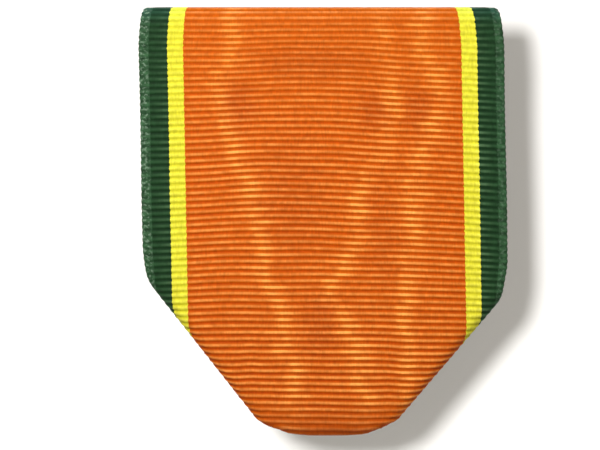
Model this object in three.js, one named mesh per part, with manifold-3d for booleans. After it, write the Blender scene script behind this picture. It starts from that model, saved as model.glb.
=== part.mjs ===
// A pentagonal medal ribbon drape on its slotted pin brooch.
// Millimetres. +X is to the right of someone who looks at the front, +Z is up as worn,
// and the front of the ribbon faces -Y. The origin is on the axis of the closed pin stem,
// half way along the brooch.

import * as THREE from 'three';
import { mergeVertices } from 'three/addons/utils/BufferGeometryUtils.js';
import Module from 'manifold-3d';

const wasm = await Module();
wasm.setup();

// ---------------------------------------------------------------- driving dimensions

const RIBBON_WIDTH = 34.93; // 1 3/8 inch, the standard full-size medal ribbon
const DRAPE_HEIGHT = 41.3; // 1 5/8 inch, top fold to bottom loop
const CLOTH = 0.5; // thickness of the corded ribbon
const PLY_GAP = 0.1; // air between two plies, and between a ply and the metal

const STEM_RADIUS = 0.45;
const CLOTHING_GAP = 2.35; // clear space between stem and plate, for the wearer's cloth
const PLATE_THICKNESS = 0.8;
const PLATE_WIDTH = 34;
const PAD_HALF_HEIGHT = 2.6; // the solid lower part of the plate, level with the stem
const SLOT_WIDTH = 32.4;
const SLOT_HEIGHT = 2.3;
const BAR_HEIGHT = 1.6; // the bar above the slot, which the ribbon goes round

const JOINT_X = -13;
const CATCH_X = 12;

// ---------------------------------------------------------------- levels worked out

const PLATE_REAR = -(STEM_RADIUS + CLOTHING_GAP);
const PLATE_FRONT = PLATE_REAR - PLATE_THICKNESS;
const PLY_PITCH = CLOTH + PLY_GAP;
const LEG_Y = PLATE_FRONT - PLY_GAP - CLOTH / 2; // middle of the ply against the plate
const FRONT_Y = LEG_Y - PLY_PITCH; // middle of the front ply
const LAP_Y = LEG_Y + PLY_PITCH; // middle of the end that laps behind the leg
const BAR_Y = (PLATE_FRONT + PLATE_REAR) / 2;
const BAR_Z = PAD_HALF_HEIGHT + SLOT_HEIGHT + BAR_HEIGHT / 2;
const LOOP_RADIUS = BAR_Y - FRONT_Y; // middle of the ply round the bar
const TOP_Z = BAR_Z + LOOP_RADIUS + CLOTH / 2;
const BOTTOM_Z = TOP_Z - DRAPE_HEIGHT;
const PLATE_TOP = PAD_HALF_HEIGHT + SLOT_HEIGHT + BAR_HEIGHT;

const BEYOND = 60; // farther out than any part of the drape, for the solids that cut it

// ---------------------------------------------------------------- materials

function metal(color, roughness) {
  return new THREE.MeshStandardMaterial({ color, roughness, metalness: 1 });
}

function cloth(color) {
  return new THREE.MeshStandardMaterial({ color, roughness: 0.9, metalness: 0 });
}

const brass = metal(0xb8964f, 0.35);
const nickelSilver = metal(0xb9b6ac, 0.3);
const ribbonCloth = cloth(0xd4702a);
const orangeThread = cloth(0xb9561c);

// ---------------------------------------------------------------- solid helpers

function solidOf(geometry) {
  const bare = geometry.clone();
  bare.deleteAttribute('normal');
  bare.deleteAttribute('uv');
  const merged = mergeVertices(bare, 1e-5);
  return new wasm.Manifold(new wasm.Mesh({
    numProp: 3,
    vertProperties: merged.attributes.position.array,
    triVerts: Uint32Array.from(merged.index.array),
  }));
}

function geometryOf(solid) {
  const mesh = solid.getMesh();
  const geometry = new THREE.BufferGeometry();
  geometry.setAttribute('position', new THREE.BufferAttribute(mesh.vertProperties, 3));
  geometry.setIndex(new THREE.BufferAttribute(mesh.triVerts, 1));
  geometry.computeVertexNormals();
  return geometry;
}

function union(geometries) {
  return geometries.map(solidOf).reduce((sum, solid) => sum.add(solid));
}

function shapeOf(points) {
  return new THREE.Shape(points.map(([a, b]) => new THREE.Vector2(a, b)));
}

function extrude(shape, depth, curveSegments = 8) {
  return new THREE.ExtrudeGeometry(shape, { depth, bevelEnabled: false, curveSegments });
}

// An outline drawn in X and Z, filled from y = back to y = front (back < front).
function slabXZ(shape, back, front, curveSegments) {
  const slab = extrude(shape, front - back, curveSegments);
  return slab.rotateX(Math.PI / 2).translate(0, front, 0);
}

// An outline drawn in Y and Z, filled from x = left to x = right.
function slabYZ(shape, left, right, curveSegments) {
  const slab = extrude(shape, right - left, curveSegments);
  const turn = new THREE.Matrix4().makeBasis(
    new THREE.Vector3(0, 1, 0),
    new THREE.Vector3(0, 0, 1),
    new THREE.Vector3(1, 0, 0),
  );
  return slab.applyMatrix4(turn).translate(left, 0, 0);
}

// An outline drawn in X and Y, filled from z = low to z = high.
function slabXY(shape, low, high, curveSegments) {
  return extrude(shape, high - low, curveSegments).translate(0, 0, low);
}

function box([x0, x1], [y0, y1], [z0, z1]) {
  const geometry = new THREE.BoxGeometry(x1 - x0, y1 - y0, z1 - z0);
  return geometry.translate((x0 + x1) / 2, (y0 + y1) / 2, (z0 + z1) / 2);
}

function roundedRectangle(x0, x1, z0, z1, radius) {
  const shape = new THREE.Shape();
  shape.moveTo(x0 + radius, z0);
  shape.lineTo(x1 - radius, z0);
  shape.absarc(x1 - radius, z0 + radius, radius, -Math.PI / 2, 0);
  shape.absarc(x1 - radius, z1 - radius, radius, 0, Math.PI / 2);
  shape.absarc(x0 + radius, z1 - radius, radius, Math.PI / 2, Math.PI);
  shape.absarc(x0 + radius, z0 + radius, radius, Math.PI, Math.PI * 1.5);
  return shape;
}

// A round cylinder along z, with a corner on the +X side.
function cylinderZ(radius, low, high, sides = 24) {
  const cylinder = new THREE.CylinderGeometry(radius, radius, high - low, sides);
  return cylinder.rotateX(Math.PI / 2).translate(0, 0, (low + high) / 2);
}

function cylinderX(radius, left, right, sides = 32) {
  const cylinder = new THREE.CylinderGeometry(radius, radius, right - left, sides);
  return cylinder.rotateZ(Math.PI / 2).translate((left + right) / 2, 0, 0);
}

function arcPoints(cy, cz, radius, from, to, steps) {
  return Array.from({ length: steps + 1 }, (_, i) => {
    const angle = from + ((to - from) * i) / steps;
    return [cy + radius * Math.cos(angle), cz + radius * Math.sin(angle)];
  });
}

// A gentle step sideways between two levels, as pressed cloth makes it.
function easePoints(y0, z0, y1, z1, steps) {
  return Array.from({ length: steps + 1 }, (_, i) => {
    const t = i / steps;
    return [y0 + (y1 - y0) * t * t * (3 - 2 * t), z0 + (z1 - z0) * t];
  });
}

// The outline of a strip of the given thickness whose middle follows the points.
function stripOutline(points, thickness) {
  const middle = points.map(([a, b]) => new THREE.Vector2(a, b));
  const sides = middle.map((point, i) => {
    const before = middle[Math.max(i - 1, 0)];
    const after = middle[Math.min(i + 1, middle.length - 1)];
    const along = after.clone().sub(before).normalize();
    const across = new THREE.Vector2(-along.y, along.x).multiplyScalar(thickness / 2);
    return [point.clone().add(across), point.clone().sub(across)];
  });
  const left = sides.map(([a]) => a);
  const right = sides.map(([, b]) => b).reverse();
  return new THREE.Shape([...left, ...right]);
}

// ---------------------------------------------------------------- ribbon

// Lower outline of the drape, right half: side, rounded corner, straight slope, tip.
const HALF_WIDTH = RIBBON_WIDTH / 2;
const SLOPE_ANGLE = THREE.MathUtils.degToRad(50.3); // the folded edge above the horizontal
const CORNER_Z = TOP_Z - 26.55; // where side and slope would meet in a sharp corner
const CORNER_ROUNDING = 1.4; // length of each edge lost to the rounded corner
const TIP_HALF_WIDTH = 7.1; // where the slope gives way to the rounded bottom
const TOP_NARROWING = 0.3; // the loop is drawn in a little by the slot
const TOP_NARROWING_DEPTH = 5;
const TIP_FULLNESS = 0.78; // share of the tip's half width where the rounding is pulled down

// The corners fold back along the slopes: both plies turn round this line.
const FOLD_OUTER = CLOTH + PLY_PITCH + PLY_GAP / 2; // radius of the outside of the turn
const FOLD_Y = FRONT_Y - CLOTH / 2 + FOLD_OUTER; // middle of the turn

const RING_LOOP_RADIUS = 0.85; // middle of the cloth round the channel for a medal's ring
const LEG_END_Z = -9.2;
const LAP_END_Z = -3.2;
const RING_NECK = [0.4, 4.5]; // above the ring channel, where the back ply eases to the leg's level
const LAP_STEP = [2.2, 0.4]; // below the leg's end, where the back ply steps over onto the leg
const SLOT_EDGE_GAP = 0.2; // the cloth's edges are drawn in this far inside the ends of the slot

const FOLD_RUN_OUT = 3; // the turned edge is made too long, then trimmed to the outline
const FOLD_OVERLAP = 0.1; // so that the joined stretches of cloth share some volume

const slopeDown = new THREE.Vector2(-Math.cos(SLOPE_ANGLE), -Math.sin(SLOPE_ANGLE));
const slopeOut = new THREE.Vector2(Math.sin(SLOPE_ANGLE), -Math.cos(SLOPE_ANGLE));
const corner = new THREE.Vector2(HALF_WIDTH, CORNER_Z);
const foldStart = corner.clone().addScaledVector(slopeOut, -FOLD_OUTER);
const SLOPE_LENGTH = (CORNER_Z - BOTTOM_Z) / Math.sin(SLOPE_ANGLE);

function slopePointAtX(x) {
  return corner.clone().addScaledVector(slopeDown, (corner.x - x) / -slopeDown.x);
}

function drapeOutline() {
  const shape = new THREE.Shape();
  const cornerEnd = corner.clone().addScaledVector(slopeDown, CORNER_ROUNDING);
  const tip = slopePointAtX(TIP_HALF_WIDTH);
  const tipPull = slopePointAtX(TIP_HALF_WIDTH * TIP_FULLNESS);
  const shoulder = TOP_Z - TOP_NARROWING_DEPTH;
  const top = TOP_Z + 1;
  shape.moveTo(HALF_WIDTH - TOP_NARROWING, top);
  shape.lineTo(-HALF_WIDTH + TOP_NARROWING, top);
  shape.lineTo(-HALF_WIDTH, shoulder);
  shape.lineTo(-HALF_WIDTH, CORNER_Z + CORNER_ROUNDING);
  shape.quadraticCurveTo(-corner.x, corner.y, -cornerEnd.x, cornerEnd.y);
  shape.lineTo(-tip.x, tip.y);
  shape.quadraticCurveTo(-tipPull.x, BOTTOM_Z, 0, BOTTOM_Z);
  shape.quadraticCurveTo(tipPull.x, BOTTOM_Z, tip.x, tip.y);
  shape.lineTo(cornerEnd.x, cornerEnd.y);
  shape.quadraticCurveTo(corner.x, corner.y, HALF_WIDTH, CORNER_Z + CORNER_ROUNDING);
  shape.lineTo(HALF_WIDTH, shoulder);
  return shape;
}

// The strip seen from its edge, from the lower end of the leg to the lapped end.
function stripPath() {
  const legBend = LOOP_RADIUS - (LEG_Y - FRONT_Y); // from the leg into the slot
  const slotZ = BAR_Z - LOOP_RADIUS;
  const ringZ = BOTTOM_Z + CLOTH / 2 + RING_LOOP_RADIUS;
  const ringY = FRONT_Y + RING_LOOP_RADIUS;
  const half = Math.PI / 2;
  return [
    [LEG_Y, LEG_END_Z],
    ...arcPoints(LEG_Y + legBend, slotZ - legBend, legBend, Math.PI, half, 5),
    ...arcPoints(BAR_Y, BAR_Z, LOOP_RADIUS, -half, Math.PI, 20).slice(1),
    ...arcPoints(ringY, ringZ, RING_LOOP_RADIUS, Math.PI, Math.PI * 2, 10),
    ...easePoints(ringY + RING_LOOP_RADIUS, ringZ + RING_NECK[0], LEG_Y, ringZ + RING_NECK[1], 6),
    ...easePoints(LEG_Y, LEG_END_Z - LAP_STEP[0], LAP_Y, LEG_END_Z - LAP_STEP[1], 5),
    [LAP_Y, LAP_END_Z],
  ];
}

// One ply turned round the right-hand slope: a half ring swept along the fold line.
function foldRing(inner, outer) {
  const ring = new THREE.Shape();
  ring.absarc(0, 0, outer, -Math.PI / 2, Math.PI / 2, false);
  ring.absarc(0, 0, inner, Math.PI / 2, -Math.PI / 2, true);
  const turn = new THREE.Matrix4().makeBasis(
    new THREE.Vector3(slopeOut.x, 0, slopeOut.y),
    new THREE.Vector3(0, -1, 0),
    new THREE.Vector3(slopeDown.x, 0, slopeDown.y),
  );
  const start = foldStart.clone().addScaledVector(slopeDown, -FOLD_RUN_OUT);
  const length = SLOPE_LENGTH + 2 * FOLD_RUN_OUT;
  const sweep = extrude(ring, length, 8).applyMatrix4(turn);
  return sweep.translate(start.x, FOLD_Y, start.y);
}

// Where a point of the flat strip lands once the corner has been turned back at the
// given radius.
function turnedBack(x, z, radius) {
  const point = new THREE.Vector2(x, z).sub(foldStart);
  const past = point.dot(slopeOut) - Math.PI * radius;
  return foldStart.clone()
    .addScaledVector(slopeDown, point.dot(slopeDown))
    .addScaledVector(slopeOut, -past);
}

// The right-hand corner behind the drape, cut off at the height z of the flat strip.
function flapOutline(radius, bottomZ, topZ) {
  const reach = Math.PI * radius - FOLD_OVERLAP;
  const onFold = (t) => foldStart.clone()
    .addScaledVector(slopeOut, reach)
    .addScaledVector(slopeDown, t);
  const slopeRun = (from, to) => (from - to) / -Math.sin(SLOPE_ANGLE);
  const top = onFold((HALF_WIDTH - onFold(0).x) / slopeDown.x);
  const upper = onFold(slopeRun(topZ, onFold(0).y));
  const start = topZ < top.y ? upper : top;
  const low = onFold(slopeRun(bottomZ, onFold(0).y));
  const flat = [[start.x, start.y], [HALF_WIDTH, bottomZ], [low.x, low.y]];
  if (topZ < top.y) {
    flat.splice(1, 0, [HALF_WIDTH, topZ]);
  }
  return shapeOf(flat.map(([x, z]) => turnedBack(x, z, radius)).map((p) => [p.x, p.y]));
}

// The same solid on the other side of the x = 0 plane, with its faces still pointing out.
function mirrored(geometry) {
  const copy = geometry.index ? geometry.toNonIndexed() : geometry.clone();
  copy.scale(-1, 1, 1);
  const points = copy.attributes.position.array;
  for (let i = 0; i < points.length; i += 9) {
    for (let k = 0; k < 3; k += 1) {
      [points[i + k], points[i + 3 + k]] = [points[i + 3 + k], points[i + k]];
    }
  }
  return copy;
}

function ribbon() {
  const strip = slabYZ(stripOutline(stripPath(), CLOTH), -HALF_WIDTH, HALF_WIDTH);
  const lowFold = foldStart.clone().addScaledVector(slopeOut, FOLD_OVERLAP);
  const onLine = (x) => lowFold.y + ((x - lowFold.x) * slopeDown.y) / slopeDown.x;
  const unfolded = slabXZ(
    shapeOf([
      [-BEYOND, BEYOND],
      [-BEYOND, onLine(BEYOND)],
      [0, onLine(0)],
      [BEYOND, onLine(BEYOND)],
      [BEYOND, BEYOND],
    ]),
    -BEYOND,
    BEYOND,
  );
  const innerPly = [PLY_GAP / 2, PLY_GAP / 2 + CLOTH];
  const outerPly = [FOLD_OUTER - CLOTH, FOLD_OUTER];
  const turned = [];
  for (const [inner, outer] of [innerPly, outerPly]) {
    const radius = (inner + outer) / 2;
    const flap = flapOutline(radius, BOTTOM_Z + CLOTH / 2, BEYOND);
    turned.push(foldRing(inner, outer));
    turned.push(slabXZ(flap, FOLD_Y + inner, FOLD_Y + outer));
  }
  const flapEdge = flapOutline(FOLD_OUTER / 2, BOTTOM_Z + CLOTH / 2, BOTTOM_Z + CLOTH);
  turned.push(slabXZ(flapEdge, FOLD_Y + PLY_GAP / 2, FOLD_Y + FOLD_OUTER));

  const slotNotch = [BAR_Z - LOOP_RADIUS - CLOTH * 2, BAR_Z + LOOP_RADIUS - CLOTH / 2];
  const notch = box(
    [SLOT_WIDTH / 2 - SLOT_EDGE_GAP, HALF_WIDTH + 1],
    [FRONT_Y + PLY_PITCH / 2, LAP_Y + BEYOND],
    slotNotch,
  );
  return [...turned, ...turned.map(mirrored)]
    .map(solidOf)
    .reduce((sum, solid) => sum.add(solid), solidOf(strip).intersect(solidOf(unfolded)))
    .intersect(solidOf(slabXZ(drapeOutline(), -BEYOND, BEYOND, 6)))
    .subtract(solidOf(notch))
    .subtract(solidOf(mirrored(notch)));
}

// ---------------------------------------------------------------- threads

const THREAD_RADIUS = 0.12;
const THREAD_CLEARANCE = 0.02;
const STITCH_LENGTH = 2.2;
const STITCH_HEIGHT = 0.12; // how far the middle of a stitch stands off the cloth
const SEAM_STITCHES = 15;
const UPPER_SEAM_Z = LAP_END_Z - 1.3;
const LOWER_SEAM_Z = LEG_END_Z + 1.1;
const TACK_STITCHES = 5;
const TACK_PITCH = 0.8;
const TACK_START = 1.2; // from the flap's inner corner to the first stitch

function threadAlong(points) {
  const curve = new THREE.CatmullRomCurve3(points, false, 'catmullrom', 0.5);
  const section = new THREE.Shape();
  section.absarc(0, 0, THREAD_RADIUS, 0, Math.PI * 2);
  return new THREE.ExtrudeGeometry(section, {
    steps: (points.length - 1) * 2,
    curveSegments: 3,
    extrudePath: curve,
  });
}

// A row of machine stitches across the lap: touching the cloth at each needle hole.
function seamThread(z) {
  const low = LAP_Y + CLOTH / 2 + THREAD_RADIUS + THREAD_CLEARANCE;
  const points = Array.from({ length: SEAM_STITCHES * 2 + 1 }, (_, i) => new THREE.Vector3(
    (i / 2 - SEAM_STITCHES / 2) * STITCH_LENGTH,
    low + (i % 2) * STITCH_HEIGHT,
    z,
  ));
  return threadAlong(points);
}

// Overcast stitches that hold the right-hand flap's upper edge down on the back ply. Each
// one comes over the edge of the outer ply, then steps down past the inner ply to the back.
function flapThread() {
  const flapCorner = turnedBack(HALF_WIDTH, BOTTOM_Z + CLOTH / 2, FOLD_OUTER - CLOTH / 2);
  const edge = turnedBack(HALF_WIDTH, CORNER_Z, FOLD_OUTER - CLOTH / 2).sub(flapCorner);
  edge.normalize();
  const up = new THREE.Vector2(-edge.y, edge.x);
  const stand = THREAD_RADIUS + THREAD_CLEARANCE;
  const onOuter = FOLD_Y + FOLD_OUTER + stand;
  const onInner = onOuter - PLY_PITCH;
  const onBack = onInner - PLY_PITCH;
  const step = -slopeOut.dot(up) * Math.PI * PLY_PITCH; // the inner ply reaches further
  const place = (along, rise, y) => {
    const p = flapCorner.clone().addScaledVector(edge, along).addScaledVector(up, rise);
    return new THREE.Vector3(p.x, y, p.y);
  };
  const points = [];
  for (let i = 0; i < TACK_STITCHES; i += 1) {
    const along = TACK_START + i * TACK_PITCH;
    const down = [
      place(along, -0.8, onOuter),
      place(along, 0.1, onOuter + 0.06),
      place(along + 0.05, 0.6, onInner + 0.25),
      place(along + 0.1, step + 0.05, onInner + 0.12),
      place(along + 0.15, step + 0.5, onBack + 0.35),
      place(along + 0.2, step + 0.9, onBack + 0.02),
    ];
    points.push(...(i % 2 === 0 ? down : down.reverse()));
  }
  return threadAlong(points);
}

// ---------------------------------------------------------------- brooch

const PLATE_CORNER_RADIUS = 0.8;
const SLOT_CORNER_RADIUS = 0.5;
const ROOT_OVERLAP = 0.1; // how deep an upright piece runs into the foot that carries it
const FOOT_THICKNESS = 0.4;
const FOOT_SEAT = 0.05; // each foot sits in a shallow seat struck into the plate
const SEAT_CLEARANCE = 0.05;
const JOINT_FOOT = { x: [JOINT_X - 2.2, JOINT_X + 2.2], z: [-1.7, 1.7] };
const CATCH_FOOT = { x: [CATCH_X - 1.6, CATCH_X + 1.6], z: [-1.9, 1.9] };

function seatFor(foot) {
  return box(
    [foot.x[0] - SEAT_CLEARANCE, foot.x[1] + SEAT_CLEARANCE],
    [PLATE_REAR - FOOT_SEAT, PLATE_REAR + 1],
    [foot.z[0] - SEAT_CLEARANCE, foot.z[1] + SEAT_CLEARANCE],
  );
}

function footOf(foot) {
  return box(foot.x, [PLATE_REAR - FOOT_SEAT, PLATE_REAR - FOOT_SEAT + FOOT_THICKNESS], foot.z);
}

function broochPlate() {
  const half = PLATE_WIDTH / 2;
  const outline = roundedRectangle(
    -half,
    half,
    -PAD_HALF_HEIGHT,
    PLATE_TOP,
    PLATE_CORNER_RADIUS,
  );
  const slot = roundedRectangle(
    -SLOT_WIDTH / 2,
    SLOT_WIDTH / 2,
    PAD_HALF_HEIGHT,
    PAD_HALF_HEIGHT + SLOT_HEIGHT,
    SLOT_CORNER_RADIUS,
  );
  outline.holes.push(slot);
  return solidOf(slabXZ(outline, PLATE_FRONT, PLATE_REAR, 6))
    .subtract(solidOf(seatFor(JOINT_FOOT)))
    .subtract(solidOf(seatFor(CATCH_FOOT)));
}

// ---------------------------------------------------------------- pin joint

const RIVET_RADIUS = 0.4;
const RIVET_HEAD_RADIUS = 0.7;
const EAR_THICKNESS = 0.5;
const EAR_INNER = 0.65; // from the middle of the joint to an ear's inner face
const EAR_OUTER = EAR_INNER + EAR_THICKNESS;
const EAR_RADIUS = 1.2;
const EAR_INSET = 0.3; // from the foot's edge to the ear's root
const EAR_SPLAY = 0.35; // radians below the joint's level where the ear's sides straighten
const EYE_RADIUS = 1.15;
const EYE_HALF_THICKNESS = 0.5;
const RIVET_FIT = 0.02; // between the rivet and the ears' holes
const RUNNING_CLEARANCE = 0.08; // between the rivet and the stem's eye
const HEAD_GAP = 0.01;
const HEAD_HEIGHT = 0.35;
const HEAD_DOME = [[1, 0.23], [0.75, 0.69], [0.35, 0.94]]; // shares of head radius and height

function jointBracket() {
  const ear = new THREE.Shape();
  ear.moveTo(JOINT_FOOT.x[0] + EAR_INSET, PLATE_REAR + ROOT_OVERLAP);
  ear.lineTo(JOINT_FOOT.x[1] - EAR_INSET, PLATE_REAR + ROOT_OVERLAP);
  ear.absarc(JOINT_X, 0, EAR_RADIUS, -EAR_SPLAY, Math.PI + EAR_SPLAY, false);
  const pieces = [
    footOf(JOINT_FOOT),
    slabXY(ear, EAR_INNER, EAR_OUTER, 12),
    slabXY(ear, -EAR_OUTER, -EAR_INNER, 12),
  ];
  const hole = cylinderZ(RIVET_RADIUS + RIVET_FIT, -2, 2).translate(JOINT_X, 0, 0);
  return union(pieces).subtract(solidOf(hole));
}

// A shank with a domed head peened over at each end.
function jointRivet() {
  const head = EAR_OUTER + HEAD_GAP;
  const dome = HEAD_DOME.map(([r, z]) => [RIVET_HEAD_RADIUS * r, head + HEAD_HEIGHT * z]);
  const upper = [
    [RIVET_RADIUS, head],
    [RIVET_HEAD_RADIUS, head],
    ...dome,
    [0, head + HEAD_HEIGHT],
  ];
  const lower = upper.map(([r, z]) => [r, -z]).reverse();
  const profile = [...lower, ...upper].map(([r, z]) => new THREE.Vector2(r, z));
  return new THREE.LatheGeometry(profile, 24).rotateX(Math.PI / 2).translate(JOINT_X, 0, 0);
}

// ---------------------------------------------------------------- pin stem

const STEM_TIP_X = 15.6;
const TAPER_START_X = 4;
const POINT_START_X = 13.4;
const SHANK_ROOT_X = JOINT_X + EYE_RADIUS * 0.6; // inside the eye
const SHOULDER = [EYE_RADIUS + 0.5, EYE_RADIUS + 0.9]; // from the joint, where the root slims

function pinStem() {
  const lathe = [
    [0, SHANK_ROOT_X],
    [EYE_HALF_THICKNESS, SHANK_ROOT_X],
    [EYE_HALF_THICKNESS, JOINT_X + SHOULDER[0]],
    [STEM_RADIUS, JOINT_X + SHOULDER[1]],
    [STEM_RADIUS, TAPER_START_X],
    [STEM_RADIUS * 0.9, POINT_START_X],
    [STEM_RADIUS * 0.55, POINT_START_X + 1.2],
    [STEM_RADIUS * 0.25, STEM_TIP_X - 0.3],
    [0, STEM_TIP_X],
  ].map(([r, x]) => new THREE.Vector2(r, x));
  const shank = new THREE.LatheGeometry(lathe, 24).rotateZ(-Math.PI / 2);
  const eye = cylinderZ(EYE_RADIUS, -EYE_HALF_THICKNESS, EYE_HALF_THICKNESS, 32)
    .translate(JOINT_X, 0, 0);
  const hole = cylinderZ(RIVET_RADIUS + RUNNING_CLEARANCE, -2, 2).translate(JOINT_X, 0, 0);
  return union([shank, eye]).subtract(solidOf(hole));
}

// ---------------------------------------------------------------- safety catch

const CATCH_OUTER = 1.9;
const ROTOR_SEAT = 1.35; // bore that the rotor turns in
const ROTOR_RADIUS = 1.2;
const ROTOR_BORE = 0.65; // clear of the stem
const CHEEK_BORE = 0.75;
const CATCH_HALF_LENGTH = 1.1;
const CHEEK = 0.4;
const ROTOR_END_PLAY = 0.15;
const ROTOR_HALF_LENGTH = CATCH_HALF_LENGTH - CHEEK - ROTOR_END_PLAY;
const MOUTH_TOP = 0.65; // the mouth opens towards the wearer and downwards
const ROTOR_SLOT = 1.2;
const TAB_ANGLE = THREE.MathUtils.degToRad(-82); // from +Y towards +Z, unlocked
const TAB_HALF_WIDTH = 0.3;
const TAB_REACH = 3.1;
const TAB_ROOT = 0.3; // how deep the tab runs into the rotor
const KNOB_RADIUS = 0.5;
const NECK_HALF_HEIGHT = 1;
const NECK_Y = [PLATE_REAR + ROOT_OVERLAP, -1];

function catchBody() {
  const far = 4;
  const neck = box([-CATCH_HALF_LENGTH, CATCH_HALF_LENGTH], NECK_Y, [-NECK_HALF_HEIGHT, NECK_HALF_HEIGHT]);
  const barrel = cylinderX(CATCH_OUTER, -CATCH_HALF_LENGTH, CATCH_HALF_LENGTH);
  const seat = cylinderX(ROTOR_SEAT, -CATCH_HALF_LENGTH + CHEEK, CATCH_HALF_LENGTH - CHEEK);
  const bore = cylinderX(CHEEK_BORE, -far, far);
  const mouth = shapeOf([
    [0, 0],
    [-far * 0.5, -far * Math.sin(Math.PI / 3)],
    [far, -far * Math.sin(Math.PI / 3)],
    [far, MOUTH_TOP],
    [0, MOUTH_TOP],
  ]);
  const housing = union([neck, barrel])
    .subtract(solidOf(seat))
    .subtract(solidOf(bore))
    .subtract(solidOf(slabYZ(mouth, -far, far)));
  const foot = solidOf(footOf(CATCH_FOOT).translate(-CATCH_X, 0, 0));
  return housing.add(foot).translate([CATCH_X, 0, 0]);
}

function catchRotor() {
  const sleeve = cylinderX(ROTOR_RADIUS, -ROTOR_HALF_LENGTH, ROTOR_HALF_LENGTH);
  const bore = cylinderX(ROTOR_BORE, -2, 2);
  const slot = box([-2, 2], [0, 2], [-ROTOR_SLOT / 2, ROTOR_SLOT / 2]);
  const tab = box(
    [-ROTOR_HALF_LENGTH, ROTOR_HALF_LENGTH],
    [ROTOR_RADIUS - TAB_ROOT, TAB_REACH - KNOB_RADIUS],
    [-TAB_HALF_WIDTH, TAB_HALF_WIDTH],
  );
  const knob = cylinderX(KNOB_RADIUS, -ROTOR_HALF_LENGTH, ROTOR_HALF_LENGTH, 16)
    .translate(0, TAB_REACH - KNOB_RADIUS, 0);
  const lever = union([tab.rotateX(TAB_ANGLE), knob.rotateX(TAB_ANGLE)]);
  return solidOf(sleeve)
    .subtract(solidOf(bore))
    .subtract(solidOf(slot))
    .add(lever)
    .translate([CATCH_X, 0, 0]);
}

// ---------------------------------------------------------------- assembly

const part = new THREE.Group();

function addPiece(name, geometry, material) {
  const mesh = new THREE.Mesh(geometry, material);
  mesh.name = name;
  part.add(mesh);
}

addPiece('ribbon', geometryOf(ribbon()), ribbonCloth);
addPiece('upper_seam_thread', seamThread(UPPER_SEAM_Z), orangeThread);
addPiece('lower_seam_thread', seamThread(LOWER_SEAM_Z), orangeThread);
addPiece('right_flap_thread', flapThread(), orangeThread);
addPiece('left_flap_thread', mirrored(flapThread()), orangeThread);
addPiece('brooch_plate', geometryOf(broochPlate()), brass);
addPiece('joint_bracket', geometryOf(jointBracket()), brass);
addPiece('joint_rivet', jointRivet(), nickelSilver);
addPiece('pin_stem', geometryOf(pinStem()), nickelSilver);
addPiece('catch_body', geometryOf(catchBody()), brass);
addPiece('catch_rotor', geometryOf(catchRotor()), nickelSilver);

export default part;
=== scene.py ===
"""The looks of a pentagonal medal ribbon on its slotted pin brooch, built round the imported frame.

The ribbon is one woven strip. It is laid out rib by rib, carried along the strip's path,
its corners are turned back, and then the whole drape is hung a little out of true.
Lengths are millimetres until a mesh is made, then metres.
"""

import math

import bmesh
import bpy
import numpy as np
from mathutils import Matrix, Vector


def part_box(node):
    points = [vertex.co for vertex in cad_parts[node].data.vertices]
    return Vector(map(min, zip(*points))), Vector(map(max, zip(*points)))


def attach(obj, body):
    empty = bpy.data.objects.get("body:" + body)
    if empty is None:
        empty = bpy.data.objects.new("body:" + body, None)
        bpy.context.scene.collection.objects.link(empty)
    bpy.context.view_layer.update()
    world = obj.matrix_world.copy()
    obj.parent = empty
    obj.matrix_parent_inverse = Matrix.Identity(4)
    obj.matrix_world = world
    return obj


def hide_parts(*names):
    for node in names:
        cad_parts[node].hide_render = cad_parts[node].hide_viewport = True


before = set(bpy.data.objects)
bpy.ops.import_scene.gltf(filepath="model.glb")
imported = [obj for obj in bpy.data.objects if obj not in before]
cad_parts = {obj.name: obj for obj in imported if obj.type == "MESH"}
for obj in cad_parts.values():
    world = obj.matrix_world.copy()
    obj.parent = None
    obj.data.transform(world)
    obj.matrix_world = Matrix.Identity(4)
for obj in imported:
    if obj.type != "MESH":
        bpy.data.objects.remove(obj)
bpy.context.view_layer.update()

MM = 0.001

# ---- sizes from the frame


def box_mm(node):
    low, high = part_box(node)
    return np.array(low) / MM, np.array(high) / MM


ribbon_low, ribbon_high = box_mm("ribbon")
plate_low, plate_high = box_mm("brooch_plate")

CLOTH = 0.5
PLY_GAP = 0.1
PLY_PITCH = CLOTH + PLY_GAP

HALF_WIDTH = ribbon_high[0]
TOP_Z = ribbon_high[2]
BOTTOM_Z = ribbon_low[2]
FRONT_Y = ribbon_low[1] + CLOTH / 2
LEG_Y = FRONT_Y + PLY_PITCH
LAP_Y = LEG_Y + PLY_PITCH
BAR_Y = (plate_low[1] + plate_high[1]) / 2
LOOP_RADIUS = BAR_Y - FRONT_Y
BAR_Z = TOP_Z - CLOTH / 2 - LOOP_RADIUS

RING_RADIUS = 0.85  # middle of the cloth round the channel for a medal's ring
FLAT_RADIUS = 0.3  # the same turn where the cloth is pressed flat
LEG_END_Z = -9.2  # cut end of the leg, between the front and the back ply
LAP_END_Z = -3.2  # cut end of the back ply, lapped over the leg

FOLD_OUTER = CLOTH + PLY_PITCH + PLY_GAP / 2
FOLD_Y = FRONT_Y - CLOTH / 2 + FOLD_OUTER


class Fold:
    """The slanting line on which a lower corner is turned back, seen as if on the +X side.

    The corner starts corner_drop below the top, and the fold pulls the side in there by pull.
    """

    def __init__(self, degrees, corner_drop, pull):
        angle = math.radians(degrees)
        self.corner_drop = corner_drop
        self.pull = pull
        self.corner_z = TOP_Z - corner_drop
        self.down = np.array([-math.cos(angle), -math.sin(angle)])
        self.out = np.array([math.sin(angle), -math.cos(angle)])
        self.start = np.array([HALF_WIDTH, self.corner_z]) - FOLD_OUTER * self.out


# The two corners were turned back by hand and are not quite alike.
FOLDS = {1: Fold(48.8, 27.5, 0.42), -1: Fold(52.4, 26.0, 0.2)}

# ---- small numeric helpers


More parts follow.
